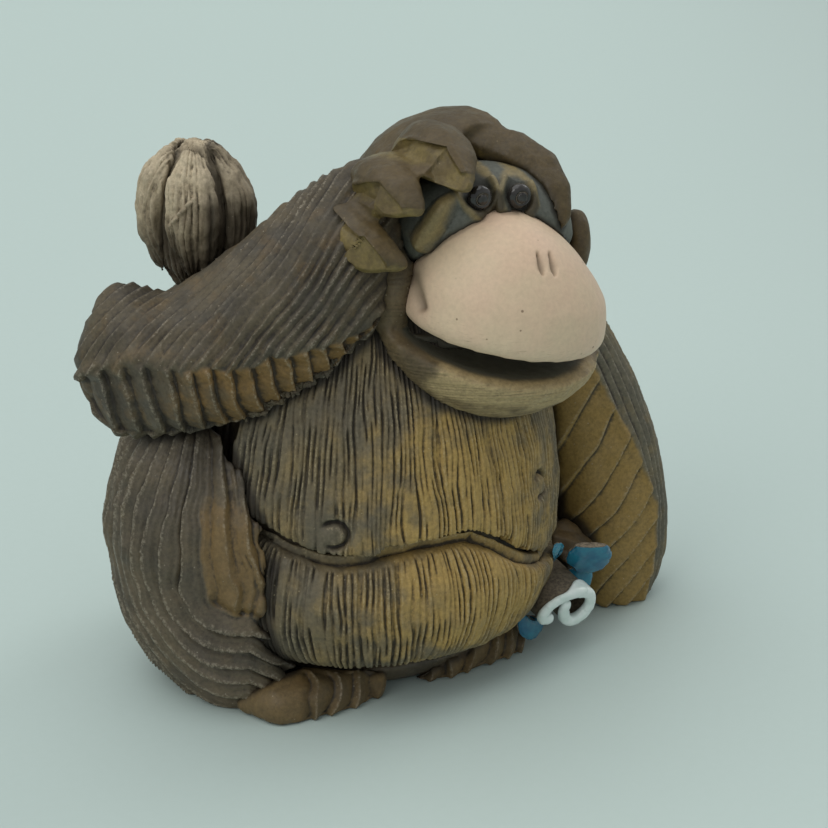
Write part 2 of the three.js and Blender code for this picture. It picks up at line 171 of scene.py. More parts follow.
class Skin:
    """The vertices of a mesh as numpy arrays, in millimetres."""

    def __init__(self, obj):
        self.obj = obj
        self.mesh = obj.data
        self.count = len(self.mesh.vertices)
        self.read()
        edges = np.empty(len(self.mesh.edges) * 2, np.int32)
        self.mesh.edges.foreach_get("vertices", edges)
        self.edges = edges.reshape(-1, 2)
        self.valence = np.bincount(self.edges.ravel(), minlength=self.count).clip(1)
        self.relief = np.zeros(self.count)

    def read(self):
        flat = np.empty(self.count * 3, np.float32)
        self.mesh.vertices.foreach_get("co", flat)
        self.p = flat.reshape(-1, 3).astype(float) / MM
        flat = np.empty(self.count * 3, np.float32)
        self.mesh.vertex_normals.foreach_get("vector", flat)
        self.n = flat.reshape(-1, 3).astype(float)

    def blurred(self, field, rounds):
        a, b = self.edges[:, 0], self.edges[:, 1]
        for _ in range(rounds):
            total = np.bincount(a, field[b], self.count) + np.bincount(b, field[a], self.count)
            field = 0.5 * field + 0.5 * total / self.valence
        return field

    def push(self, depth):
        """Moves the surface outwards by depth, in millimetres."""
        self.relief = self.relief + depth
        self.p = self.p + self.n * depth[:, None]
        self.write()
        self.read()

    def pull(self, centre, by, radius, point=1.6):
        """Draws the surface round a point out into a corner, or presses it in."""
        w = np.clip(1 - np.linalg.norm(self.p - centre, axis=1) / radius, 0, 1) ** point
        self.p = self.p + w[:, None] * np.asarray(by, float)
        self.write()
        self.read()

    def pare(self, point, normal, where):
        """Cuts a flat facet: what stands beyond the plane is laid on it."""
        normal = np.asarray(normal, float) / np.linalg.norm(normal)
        beyond = np.clip((self.p - point) @ normal, 0, None) * where
        self.p = self.p - beyond[:, None] * normal
        self.write()
        self.read()

    def write(self):
        self.p[:, 2] = self.p[:, 2].clip(0.0)
        self.mesh.vertices.foreach_set("co", (self.p * MM).astype(np.float32).ravel())
        self.mesh.update()

    def store(self, name, field):
        made = self.mesh.attributes.new(name, "FLOAT", "POINT")
        made.data.foreach_set("value", np.asarray(field, np.float32))

    def distance_to(self, *nodes, reach=4.0):
        """Distance to the nearest of some CAD nodes, in millimetres, as far as reach."""
        near = np.full(self.count, reach)
        for node in nodes:
            low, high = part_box(node)
            low, high = np.array(low) / MM - reach, np.array(high) / MM + reach
            inside = np.nonzero(np.all((self.p > low) & (self.p < high), axis=1))[0]
            if not len(inside):
                continue
            tree = tree_of(node)
            for i in inside:
                found = tree.find_nearest(Vector(self.p[i] * MM), float(near[i]) * MM)
                if found[3] is not None:
                    near[i] = min(near[i], found[3] / MM)
        return near


TREES = {}


def tree_of(node):
    if node not in TREES:
        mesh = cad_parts[node].data
        corners = [v.co.copy() for v in mesh.vertices]
        TREES[node] = BVHTree.FromPolygons(corners, [tuple(f.vertices) for f in mesh.polygons])
    return TREES[node]


def finish(skin, body, nodes, slot, material, spread=24, **fields):
    """Stores what the material reads, and ties the piece to the CAD."""
    skin.store("relief", skin.relief - skin.blurred(skin.relief, spread))
    # Of these, the darkening attribute holds painted shade for joints, folds, grooves and hollows, and on the
    # jaw some of the jowl's own brown.
    for name in ("tone", "crease", "extra"):
        skin.store(name, fields.get(name, np.zeros(skin.count)))
    skin.mesh.polygons.foreach_set("use_smooth", np.ones(len(skin.mesh.polygons), bool))
    skin.mesh.materials.clear()
    skin.mesh.materials.append(material)
    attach(skin.obj, body)
    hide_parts(*nodes)
    return skin.obj


# ---- materials ---------------------------------------------------------------------------------------


class Nodes:
    def __init__(self, name):
        self.material = bpy.data.materials.new(name)
        self.material.use_nodes = True
        self.tree = self.material.node_tree
        self.tree.nodes.clear()
        self.out = self.tree.nodes.new("ShaderNodeOutputMaterial")

    def add(self, kind, inputs=None, **settings):
        node = self.tree.nodes.new(kind)
        for key, value in settings.items():
            setattr(node, key, value)
        for key, value in (inputs or {}).items():
            self.join(value, node.inputs[key])
        return node

    def join(self, value, socket):
        if hasattr(value, "is_output") or hasattr(value, "links"):
            self.tree.links.new(value, socket)
        else:
            socket.default_value = value

    def attribute(self, name):
        return self.add("ShaderNodeAttribute", attribute_name=name).outputs["Fac"]

    def where(self, scale=1.0):
        coord = self.add("ShaderNodeNewGeometry").outputs["Position"]
        return self.add(
            "ShaderNodeVectorMath", {0: coord, 1: (1000 * scale,) * 3}, operation="MULTIPLY"
        ).outputs[0]

    def noise(self, scale, detail=4.0, roughness=0.55, stretch=None):
        at = self.where(scale)
        if stretch:
            at = self.add("ShaderNodeVectorMath", {0: at, 1: stretch}, operation="MULTIPLY").outputs[0]
        return self.add(
            "ShaderNodeTexNoise",
            {"Vector": at, "Scale": 1.0, "Detail": detail, "Roughness": roughness},
        ).outputs["Fac"]

    def scaled(self, value, low, high, to_low=0.0, to_high=1.0):
        return self.add(
            "ShaderNodeMapRange",
            {"Value": value, "From Min": low, "From Max": high, "To Min": to_low, "To Max": to_high},
            interpolation_type="SMOOTHSTEP",
        ).outputs["Result"]

    def math(self, operation, a, b=0.0):
        return self.add("ShaderNodeMath", {0: a, 1: b}, operation=operation).outputs[0]

    def blend(self, factor, a, b, mode="MIX"):
        node = self.add("ShaderNodeMix", data_type="RGBA", blend_type=mode)
        self.join(factor, node.inputs[0])
        self.join(a, node.inputs[6])
        self.join(b, node.inputs[7])
        return node.outputs[2]


def clay(name, dark, mid, gold, stain, rub, rough=(0.5, 0.75), grain=0.35, glint_amount=0.5):
    """Oxide-washed clay: stain lies in the cuts, the ridges are rubbed pale."""
    m = Nodes(name)
    relief = m.attribute("relief")
    patches = m.scaled(m.noise(0.12, 5.0), 0.35, 0.66)
    fine = m.noise(1.6, 6.0, 0.65)
    colour = m.blend(patches, dark, mid)
    tone = m.math("ADD", m.attribute("tone"), m.scaled(m.noise(0.25, 4.0), 0.3, 0.7, -0.25, 0.25))
    colour = m.blend(m.scaled(tone, 0.1, 0.9), colour, gold)
    mottled = m.scaled(fine, 0.25, 0.75, 0.78, 1.22)
    grey = m.add("ShaderNodeCombineColor", {0: mottled, 1: mottled, 2: mottled}).outputs[0]
    colour = m.blend(1.0, colour, grey, "MULTIPLY")
    shaken = m.math("ADD", relief, m.scaled(fine, 0.3, 0.7, -0.05, 0.05))
    cut = m.scaled(shaken, -0.02, -0.30)
    colour = m.blend(m.math("MULTIPLY", cut, 0.85), colour, stain)
    worn = m.scaled(shaken, 0.07, 0.30)
    broken = m.scaled(m.noise(2.2, 4.0, 0.7), 0.42, 0.62)
    colour = m.blend(m.math("MULTIPLY", m.math("MULTIPLY", worn, broken), 0.42), colour, rub)
    # Painted shade: joints, folds, grooves and hollows are darkened towards the stain colour.
    colour = m.blend(m.math("MULTIPLY", m.attribute("crease"), 0.9), colour, stain)
    # Painted glints: small pale spots in the colour stand in for sheen highlights.
    dots = m.add(
        "ShaderNodeTexVoronoi", {"Vector": m.where(0.9), "Scale": 1.0, "Randomness": 1.0}
    ).outputs["Distance"]
    painted_glint = m.math("MULTIPLY", m.scaled(dots, 0.13, 0.06), m.scaled(m.noise(0.5, 2.0), 0.5, 0.6))
    colour = m.blend(m.math("MULTIPLY", painted_glint, glint_amount), colour, rub)
    height = m.math("ADD", m.math("MULTIPLY", fine, 0.6), m.math("MULTIPLY", m.noise(5.0, 3.0), 0.4))
    bump = m.add(
        "ShaderNodeBump", {"Height": height, "Strength": grain, "Distance": 0.0003}
    ).outputs["Normal"]
    shader = m.add(
        "ShaderNodeBsdfPrincipled",
        {
            "Base Color": colour,
            "Roughness": m.scaled(m.noise(0.35, 4.0), 0.3, 0.7, rough[0], rough[1]),
            "Specular IOR Level": 0.42,
            "Normal": bump,
        },
    )
    m.tree.links.new(shader.outputs[0], m.out.inputs[0])
    return m.material


def rgb(r, g, b):
    return (r, g, b, 1.0)


STAIN = rgb(0.022, 0.017, 0.012)
RUB = rgb(0.40, 0.35, 0.26)
brown_clay = clay(
    "brown_clay", rgb(0.074, 0.060, 0.040), rgb(0.113, 0.088, 0.053), rgb(0.165, 0.105, 0.04), STAIN, RUB,
    rough=(0.36, 0.62),
)
arm_clay = clay(
    "arm_clay", rgb(0.062, 0.051, 0.034), rgb(0.095, 0.075, 0.044), rgb(0.185, 0.108, 0.034), STAIN, RUB
)
foot_clay = clay(
    "foot_clay", rgb(0.102, 0.070, 0.030), rgb(0.150, 0.100, 0.040), rgb(0.20, 0.12, 0.04), STAIN, RUB
)
sleeve_clay = clay(
    "sleeve_clay", rgb(0.11, 0.098, 0.07), rgb(0.15, 0.13, 0.085), rgb(0.26, 0.168, 0.048), STAIN, RUB
)
olive_clay = clay(
    "olive_clay", rgb(0.068, 0.047, 0.019), rgb(0.092, 0.062, 0.023), rgb(0.17, 0.125, 0.040),
    rgb(0.036, 0.027, 0.014), rgb(0.38, 0.30, 0.17), rough=(0.45, 0.65), grain=0.25, glint_amount=0.35,
)
combed_clay = clay(
    "combed_clay", rgb(0.115, 0.096, 0.062), rgb(0.187, 0.141, 0.070), rgb(0.36, 0.24, 0.075),
    STAIN, rgb(0.50, 0.41, 0.25), rough=(0.55, 0.8), grain=0.4,
)
tuft_clay = clay(
    "tuft_clay", rgb(0.21, 0.165, 0.105), rgb(0.37, 0.30, 0.195), rgb(0.50, 0.415, 0.285),
    rgb(0.045, 0.034, 0.02), rgb(0.58, 0.49, 0.36), rough=(0.6, 0.85), grain=0.4, glint_amount=0.2,
)


def bisque():
    """Pale unglazed clay with pores and a faint stain at its edge."""
    m = Nodes("bisque_clay")
    tint = m.scaled(m.noise(0.09, 3.0), 0.3, 0.7)
    colour = m.blend(tint, rgb(0.64, 0.50, 0.34), rgb(0.66, 0.475, 0.335))
    fine = m.noise(1.3, 5.0, 0.6)
    shade = m.scaled(fine, 0.2, 0.8, 0.93, 1.06)
    grey = m.add("ShaderNodeCombineColor", {0: shade, 1: shade, 2: shade}).outputs[0]
    colour = m.blend(1.0, colour, grey, "MULTIPLY")
    dots = m.add(
        "ShaderNodeTexVoronoi", {"Vector": m.where(0.33), "Scale": 1.0, "Randomness": 1.0}
    ).outputs["Distance"]
    pore = m.math("MULTIPLY", m.scaled(dots, 0.09, 0.05), m.scaled(m.noise(0.3, 2.0), 0.42, 0.5))
    colour = m.blend(m.math("MULTIPLY", pore, 0.75), colour, rgb(0.16, 0.10, 0.06))
    scratch = m.scaled(m.noise(0.9, 4.0, 0.7, stretch=(0.5, 0.5, 4.0)), 0.56, 0.72)
    edge = m.attribute("tone")
    scratched = m.math("MULTIPLY", m.math("MULTIPLY", scratch, edge), 0.55)
    colour = m.blend(scratched, colour, rgb(0.25, 0.17, 0.11))
    # Painted shade: joints and hollows are darkened towards dark brown.
    colour = m.blend(m.math("MULTIPLY", m.attribute("crease"), 0.85), colour, rgb(0.12, 0.085, 0.055))
    bump = m.add(
        "ShaderNodeBump",
        {"Height": m.math("SUBTRACT", fine, pore), "Strength": 0.18, "Distance": 0.0003},
    ).outputs["Normal"]
    shader = m.add(
        "ShaderNodeBsdfPrincipled",
        {"Base Color": colour, "Roughness": 0.52, "Specular IOR Level": 0.4, "Normal": bump},
    )
    m.tree.links.new(shader.outputs[0], m.out.inputs[0])
    return m.material


def glazed(name, deep, thin, clay_colour, rough=0.08):
    """Glossy glaze where the attribute extra is high, bare clay elsewhere."""
    m = Nodes(name)
    pooled = m.scaled(m.noise(0.35, 3.0), 0.3, 0.7)
    glaze = m.blend(pooled, deep, thin)
    fine = m.noise(1.8, 5.0, 0.6)
    bare_colour = m.blend(m.scaled(fine, 0.3, 0.7), clay_colour, rgb(0.06, 0.045, 0.03))
    cover = m.scaled(
        m.math("ADD", m.attribute("extra"), m.scaled(m.noise(0.8, 4.0), 0.3, 0.7, -0.12, 0.12)), 0.42, 0.55
    )
    colour = m.blend(cover, bare_colour, glaze)
    bump = m.add(
        "ShaderNodeBump",
        {"Height": fine, "Strength": m.scaled(cover, 0.0, 1.0, 0.35, 0.03), "Distance": 0.0003},
    ).outputs["Normal"]
    shader = m.add(
        "ShaderNodeBsdfPrincipled",
        {
            "Base Color": colour,
            "Roughness": m.scaled(cover, 0.0, 1.0, 0.75, rough),
            "Specular IOR Level": 0.55,
            "Normal": bump,
        },
    )
    m.tree.links.new(shader.outputs[0], m.out.inputs[0])
    return m.material


bisque_clay = bisque()
blue_glaze = glazed("blue_glaze", rgb(0.008, 0.10, 0.19), rgb(0.02, 0.19, 0.27), rgb(0.33, 0.27, 0.19))
white_glaze = glazed("white_glaze", rgb(0.62, 0.72, 0.67), rgb(0.74, 0.80, 0.77), rgb(0.15, 0.12, 0.075))
eye_glaze = glazed("eye_glaze", rgb(0.012, 0.010, 0.009), rgb(0.05, 0.045, 0.04), rgb(0.16, 0.14, 0.11), 0.16)
face_clay = clay(
    "face_clay", rgb(0.085, 0.09, 0.075), rgb(0.105, 0.108, 0.085), rgb(0.22, 0.17, 0.075),
    rgb(0.02, 0.017, 0.012), rgb(0.34, 0.30, 0.2), rough=(0.5, 0.7), grain=0.25, glint_amount=0.2,
)


def jaw_material():
    """The jaw: golden rubbed rim, dark smooth inside where the attribute extra is high."""
    made = clay(
        "jaw_clay", rgb(0.112, 0.082, 0.041), rgb(0.162, 0.116, 0.055), rgb(0.36, 0.27, 0.135),
        STAIN, rgb(0.42, 0.35, 0.24), rough=(0.5, 0.75), grain=0.35, glint_amount=0.6,
    )
    tree = made.node_tree
    shader = next(n for n in tree.nodes if n.type == "BSDF_PRINCIPLED")
    before = shader.inputs["Base Color"].links[0].from_socket
    inner = tree.nodes.new("ShaderNodeAttribute")
    inner.attribute_name = "extra"
    mix = tree.nodes.new("ShaderNodeMix")
    mix.data_type = "RGBA"
    tree.links.new(inner.outputs["Fac"], mix.inputs[0])
    tree.links.new(before, mix.inputs[6])
    mix.inputs[7].default_value = rgb(0.088, 0.085, 0.062)
    tree.links.new(mix.outputs[2], shader.inputs["Base Color"])
    return made


jaw_clay = jaw_material()


# ---- carving patterns --------------------------------------------------------------------------------


def valleys(label, depth, sharp=1.4):
    """Gouged valleys with sharp ridges at whole numbers of label."""
    f = label - np.floor(label)
    return depth * (np.abs(2 * f - 1) ** sharp - 0.5)


def steps(label, depth, lip=0.14):
    """Overlapping shingles: each rises to a lip and drops at the next whole number."""
    f = label - np.floor(label)
    return depth * (np.where(f > 1 - lip, (1 - f) / lip, f / (1 - lip)) - 0.5)


def clay_lumps(p, amount=0.25, seed=3):
    """The low, uneven swells that fingers leave."""
    return amount * fractal(p / 7.0, 3, seed) + 0.05 * noise(p / 1.3, seed + 9)


def combed(u, v, seed, depth=0.42):
    """Broken scratches of a comb along v. u runs across them."""
    u = u + 0.7 * plane(u / 7.0, v / 11.0, seed) + 0.3 * plane(u / 2.0, v / 5.0, seed + 1)
    n = 0.75 * plane(u / 0.46, v / 7.5, seed + 2) + 0.5 * plane(u / 0.8, v / 12.0, seed + 3)
    n = n + 0.3 * plane(u / 0.3, v / 2.2, seed + 4)
    sway = 1.5 * plane(u / 3.0, v / 9.0, seed + 6)
    n = n + 0.42 * np.cos(2 * math.pi * u / 0.95 + 2.5 * sway)
    whole = 0.4 + 0.6 * ramp(plane(u / 1.6, v / 4.0, seed + 5), -0.6, 0.2)
    cut = ramp(n, -0.15, 0.55) * whole
    return depth * (0.35 - cut) + 0.25 * depth * np.clip(-n - 0.3, 0, 1)


BODY = "root"


def trunk_angle(p):
    """Arc length round the trunk, in millimetres, from its front, and height."""
    mid = place("torso_front_shell", 0.5, 1.0, 0)
    angle = np.arctan2(p[:, 0] - mid[0], -(p[:, 1] - mid[1]))
    return angle * TRUNK_RADIUS, p[:, 2]


def build_trunk():
    for name, nodes, seed in (
        ("combed_chest", ["chest_slab"], 11),
        ("combed_belly", ["belly_slab"], 23),
    ):
        skin = Skin(form(name, nodes, 0.25, 1.3, 4, 3 if FINE else 2))
        u, v = trunk_angle(skin.p)
        if name == "combed_belly":
            near = skin.distance_to("chest_slab", reach=5.0)
            fold = np.exp(-((near / 2.0) ** 2)) * ramp(-skin.n[:, 1], 0.0, 0.4)
            skin.push(-2.0 * fold)
            plain = ramp(near, 1.8, 2.8)
        else:
            fold = np.zeros(skin.count)
            plain = np.ones(skin.count)
            skin.push(-0.5 * ramp(-skin.n[:, 2], 0.3, 0.8))
        outward = ramp(-skin.n[:, 1] + 0.5 * np.abs(skin.n[:, 0]), 0.15, 0.5)
        skin.push(clay_lumps(skin.p, 0.3, seed))
        rings = np.zeros(skin.count)
        if name == "combed_chest":
            for side in (-1, 1):
                plain = plain * (1 - 0.8 * np.exp(-((stamp_polar(skin.p, side)[0] / 3.0) ** 6)))
        skin.push(combed(u, v, seed, 0.62) * outward * plain)
        if name == "combed_chest":
            for side in (-1, 1):
                rings = np.maximum(rings, stamp(skin, side))
        middle = np.exp(-(((u - 2.0) / 19.0) ** 2)) * ramp(v, 2, 18) * (1 - ramp(v, 40, 62))
        close = skin.distance_to(
            "right_haunch", "left_arm", "left_haunch", "lower_jaw", "right_arm", "left_hand",
            reach=JOINT_REACH,
        )
        # Painted shade: darkening near the neighbouring parts, in the belly's fold and in the grooves of the
        # nipple rings.
        crease = 1 - ramp(close, 0.4, 2.0)
        crease = np.maximum(np.maximum(crease, 0.6 * fold), 0.9 * rings)
        finish(skin, BODY, nodes, "combed_clay", combed_clay, 30, tone=middle * 0.95, crease=crease)


RING_OUT = 20.5  # mm round the trunk from its middle
RING_SHIFT = -2.4  # both rings sit a little to the ape's right
RING_UP = 12.9  # mm above the chest's lower edge
RING_RADIUS = 2.1


def stamp_polar(p, side):
    """Distance and turn from the middle of the ring pressed into one side of the chest."""
    u, v = trunk_angle(p)
    cu = side * RING_OUT + RING_SHIFT
    cv = place("chest_slab", 0.5, 0.0, 0.0)[2] + RING_UP
    return np.hypot(u - cu, v - cv), np.arctan2(v - cv, u - cu)


def stamp(skin, side):
    """A tube's end pressed into the chest as a nipple: an open ring round a button."""
    r, turn = stamp_polar(skin.p, side)
    gap = ramp(np.cos(turn - math.radians(190)), 0.2, 0.9)
    ring = np.exp(-(((r - RING_RADIUS) / 0.42) ** 2)) * (1 - gap)
    button = 0.35 * np.exp(-((r / 1.6) ** 4)) + 0.12 * fractal(skin.p / 0.7, 2, 17) * (r < 1.7)
    angle = trunk_angle(skin.p)[0] / TRUNK_RADIUS
    outward = np.stack([np.sin(angle), -np.cos(angle), 0 * angle], -1)
    depth = np.where(skin.n[:, 1] < 0.2, button - 1.05 * ring, 0)
    skin.p = skin.p + outward * depth[:, None]
    skin.relief = skin.relief + depth
    skin.write()
    skin.read()
    return ring


def spine_frame(p, stops, up):
    """Share along a spine of points, and the angle round it from up, for each vertex."""
    stops = np.asarray(stops, float)
    lengths = np.linalg.norm(np.diff(stops, axis=0), axis=1)
    total = lengths.sum()
    best = np.full(len(p), 1e9)
    share = np.zeros(len(p))
    angle = np.zeros(len(p))
    for k, (a, b) in enumerate(zip(stops[:-1], stops[1:])):
        d = (b - a) / lengths[k]
        t = (p - a) @ d
        low = -1e9 if k == 0 else 0.0
        high = 1e9 if k == len(lengths) - 1 else lengths[k]
        held = np.clip(t, low, high)
        off = p - a - held[:, None] * d
        far = np.linalg.norm(off, axis=1) + 1e-9 * k
        top = up - d * (up @ d)
        top = top / np.linalg.norm(top)
        face = np.cross(top, d)
        closer = far < best
        best = np.where(closer, far, best)
        share = np.where(closer, (lengths[:k].sum() + held) / total, share)
        angle = np.where(closer, np.arctan2(off @ face, off @ top), angle)
    return share, angle


def crumbs(name, skin, where, count, seed):
    """Torn bits of clay left along a cut."""
    rng = np.random.default_rng(seed)
    spots = rng.choice(np.nonzero(where)[0], count)
    bits = bmesh.new()
    for i in spots:
        size = rng.uniform(0.22, 0.55)
        stretch = Matrix.Diagonal((rng.uniform(0.6, 1.0), rng.uniform(0.6, 1.0), rng.uniform(1.0, 1.9), 1.0))
        turned = Matrix.Rotation(rng.uniform(0, 3.1), 4, "X") @ Matrix.Rotation(rng.uniform(0, 3.1), 4, "Y")
        at = Matrix.Translation(Vector((skin.p[i] + skin.n[i] * size * 0.4) * MM))
        bmesh.ops.create_icosphere(bits, subdivisions=1, radius=size * MM, matrix=at @ turned @ stretch)
    mesh = bpy.data.meshes.new(name)
    bits.to_mesh(mesh)
    bits.free()
    mesh.materials.append(arm_clay)
    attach(link(bpy.data.objects.new(name, mesh)), BODY)


CUT_PITCH = 2.2  # long cuts over the arm
SCRATCH_PITCH = 0.8  # fine scratches between them
FACET_PITCH = 3.9  # cuts of the fringe under the arm


def build_right_arm():
    skin = Skin(form("right_arm_skin", ["right_arm"], 0.3, 1.1, 5, 2))
    stops = [
        place("right_arm", 0.96, 0.36, 0.97),
        place("right_arm", 0.82, 0.33, 0.79),
        place("right_arm", 0.66, 0.33, 0.60),
        place("right_arm", 0.48, 0.43, 0.42),
        place("right_arm", 0.30, 0.61, 0.29),
        place("right_arm", 0.13, 0.77, 0.24),
    ]
    up = np.array([0.0, 0.69, 0.72])
    elbow = place("right_arm", 0.17, 0.86, 0.55)
    skin.pull(elbow, (-1.0, 1.5, 3.6), 9.5, 1.3)
    skin.pull(place("right_arm", 0.33, 0.86, 0.52), (0.6, 0.4, -1.6), 6.0)
    skin.pull(place("right_arm", 0.05, 0.66, 0.05), (-0.8, -0.5, -1.6), 6.0, 1.2)
    a, angle = spine_frame(skin.p, stops, up)
    c = np.abs(angle) / math.pi
    front = angle > 0
    edge = 0.58 + 0.40 * np.clip((1 - a) / 0.65, 0, 1) ** 1.8 + 0.008 * np.sin(a * 60.0)
    brow = 0.7 * np.exp(-(((c - edge + 0.03) / 0.05) ** 2)) - 0.5 * ramp(c, edge + 0.01, edge + 0.07)
    skin.push(brow * front * ramp(a, 0.12, 0.3))
    a, angle = spine_frame(skin.p, stops, up)
    c = np.abs(angle) / math.pi
    x, y = front_view(skin.p, place("right_arm", 0.03, 0.66, 0.31))
    sweep = 0.72 * y + 0.022 * np.clip(y - 2, 0, None) ** 2 * ramp(x, 38, 14)
    line = x - sweep + 0.7 * noise(skin.p / 9.0, 5) + 0.2 * noise(skin.p / 2.5, 15)
    strength = 0.8 + 0.5 * noise(skin.p / 5.0, 7)
    uneven = 0.45 * plane(line / 5.0, 0 * line, 9)
    long_cuts = steps(-line / CUT_PITCH + uneven, 0.75, 0.3) * strength
    long_cuts = long_cuts + 0.3 * valleys(line / SCRATCH_PITCH, 0.5, 1.2) * ramp(strength, 0.7, 1.1)
    lean = x + 0.006 * x * x + 0.25 * y
    facets = steps(lean / FACET_PITCH + 0.15 * noise(skin.p / 5.0, 8), 1.25, 0.13)
    band = ramp(c, edge - 0.01, edge + 0.02) * front * ramp(a, 0.30, 0.36)
    back = steps((a + 0.012 * noise(skin.p / 8.0, 5)) * 20, 0.8, 0.3) * strength * ~front
    depth = np.where(front, long_cuts * (1 - band) + facets * band, back)
    skin.push(depth * ramp(a, 0.0, 0.12))
    skin.push(clay_lumps(skin.p, 0.14, 4) + 0.1 * fractal(skin.p / 0.9, 2, 14) * band)
    close = skin.distance_to("chest_slab", "right_haunch", "lower_jaw", reach=JOINT_REACH)
    # Painted shade: darkening where the arm meets the chest, haunch and jaw.
    crease = 1 - ramp(close, 0.3, 1.9)
    finish(
        skin, BODY, ["right_arm"], "brown_clay", arm_clay, 16,
        tone=0.85 * band * ramp(a, 1.0, 0.5) + 0.1, crease=crease,
    )
    torn = front & (close < 2.15) & (a > 0.3) & (c > edge + 0.08)
    crumbs("torn_edge", skin, torn, 190, 19)


def build_haunches():
    for side, node in ((-1, "right_haunch"), (1, "left_haunch")):
        skin = Skin(form(node + "_skin", [node], 0.25, 1.1, 4, 2))
        mid = place(node, 0.66 if side < 0 else 0.34, 0.5, 0)
        turn = np.degrees(np.arctan2(side * (skin.p[:, 0] - mid[0]), -(skin.p[:, 1] - mid[1])))
        z = skin.p[:, 2]
        wobble = 4.0 * noise(skin.p / 11.0, 31) + 1.6 * noise(skin.p / 3.0, 32)
        across = turn + wobble - 14.0
        below = np.clip(3.6 * (24.5 - z) + 0.9 * np.minimum(across, 0), 0, None)
        label = np.hypot(np.clip(across, 0, None), below)
        knee = 20.0  # degrees round the thigh where the smooth facet of the knee ends
        strength = 0.85 + 0.5 * noise(skin.p / 7.0, 34)
        cuts = steps((label - knee) / 11.5, 2.1, 0.14) * strength
        cuts = cuts + 0.35 * valleys((label - knee) / 3.6 + 0.4 * noise(skin.p / 5.0, 36), 0.6, 1.2)
        outer = ramp(label, knee - 1, knee + 2)
        inner = 1 - outer
        ribs = steps(-(across + 40) / 11.0, 1.0, 0.3)
        fine = combed(across * 0.28, z, 41, 0.4) * ramp(across, 6, -2)
        bowl = -1.1 * np.exp(-(((label - knee) / 5.0) ** 2)) * inner
        skin.push(cuts * outer + (ribs + fine + bowl) * inner * ramp(z, 4, 12) + clay_lumps(skin.p, 0.2, 33))
        close = skin.distance_to(
            "right_arm", "chest_slab", "belly_slab", "left_arm", "torso_back_shell", reach=JOINT_REACH,
        )
        tone = inner * ramp(z, 14, 20) * ramp(z, 44, 32) * 0.85
        # Painted shade: darkening where the haunch meets its neighbours.
        crease = 1 - ramp(close, 0.4, 2.0)
        finish(skin, BODY, [node], "brown_clay", brown_clay, 16, tone=tone, crease=crease)


def build_left_arm():
    skin = Skin(form("left_arm_skin", ["left_arm"], 0.25, 1.2, 5, 2))
    p = skin.p
    z = p[:, 2]
    # The middle of the arm from the hand up: height, then its place to the side and to the back.
    lean = [
        (0, 40.9, -3.9), (20, 39.8, -1.9), (32, 36.8, -0.9),
        (46, 32.3, 1.1), (57, 27.3, 3.1), (66, 21.8, 4.1),
    ]
    levels, xs, ys = zip(*lean)
    cx, cy = np.interp(z, levels, xs), np.interp(z, levels, ys)
    phi = np.degrees(np.arctan2(p[:, 1] - cy, p[:, 0] - cx))
    corner = np.interp(z, [0, 20, 40, 60], [-64, -70, -88, -100])
    wobble = 0.6 * noise(p / 8.0, 51)
    inner = ramp(corner - phi, -4, 4) * (phi > -230)
    across = np.radians(phi - corner) * 12.0
    shingles = steps(-(z * 0.8 - across * 0.72 + wobble) / 4.4, 1.15, 0.12)
    strands = steps((phi + 7 * noise(p / np.array([6.0, 6.0, 25.0]), 52)) / 9.0 + 0.012 * z, 0.75, 0.35)
    lip = 0.45 * np.exp(-(((phi - corner) / 5.0) ** 2))
    skin.push(shingles * inner + strands * (1 - inner) + lip + clay_lumps(p, 0.15, 53))
    close = skin.distance_to(
        "chest_slab", "belly_slab", "lower_jaw", "left_hand", "left_haunch", reach=JOINT_REACH,
    )
    # Painted shade: darkening where the arm meets its neighbours.
    finish(
        skin, BODY, ["left_arm"], "brown_clay", sleeve_clay, 14,
        tone=inner * 1.0 + 0.15, crease=1 - ramp(close, 0.4, 2.0),
    )


def build_back():
    """The pinched body behind: long hair strokes from the neck down."""
    for name, node, cut in (
        ("front_wall", "torso_front_shell", 0.0),
        ("back_wall", "torso_back_shell", 0.9),
        ("floor_plate", "base_plate", 0.0),
    ):
        skin = Skin(form(name, [node], 0.1, 1.4, 4, 2 if cut else 1))
        u, v = trunk_angle(skin.p)
        if cut:
            outward = ramp(skin.n[:, 1] + 0.6 * np.abs(skin.n[:, 0]), 0.1, 0.5)
            sway = u + 2.2 * plane(u / 14.0, v / 22.0, 61) + 0.05 * (v - 35) * np.sin(u / 9.0)
            skin.push(valleys(sway / 3.1, cut, 1.3) * outward + clay_lumps(skin.p, 0.25, 62))
        finish(skin, BODY, [node], "brown_clay", brown_clay, 14)


def build_feet():
    for node in ("right_foot", "left_foot"):
        skin = Skin(form(node + "_skin", [node], 0.2, 0.7, 4, 2, hull=True))
        low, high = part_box(node)
        span = (high[0] - low[0]) / MM
        toe = (skin.p[:, 0] - low[0] / MM) / span * 6.0
        toe = toe + 0.3 * noise(skin.p / 4.0, 72) - 0.09 * skin.p[:, 2]
        front = ramp(-skin.n[:, 1] + 0.25 * skin.n[:, 2], 0.25, 0.6)
        heel = ramp(toe, 1.2, 2.2) if node == "right_foot" else 1.0
        skin.push(steps(-toe, 1.3, 0.2) * front * heel + clay_lumps(skin.p, 0.35, 71))
        close = skin.distance_to("belly_slab", "base_plate", "right_haunch", reach=JOINT_REACH)
        # Painted shade: darkening where the foot meets the belly, the base and the haunch.
        finish(
            skin, BODY, [node], "brown_clay", foot_clay, 16,
            tone=0.15 * np.ones(skin.count), crease=0.8 * (1 - ramp(close, 0.3, 1.6)),
        )


# ---- head --------------------------------------------------------------------------------------------


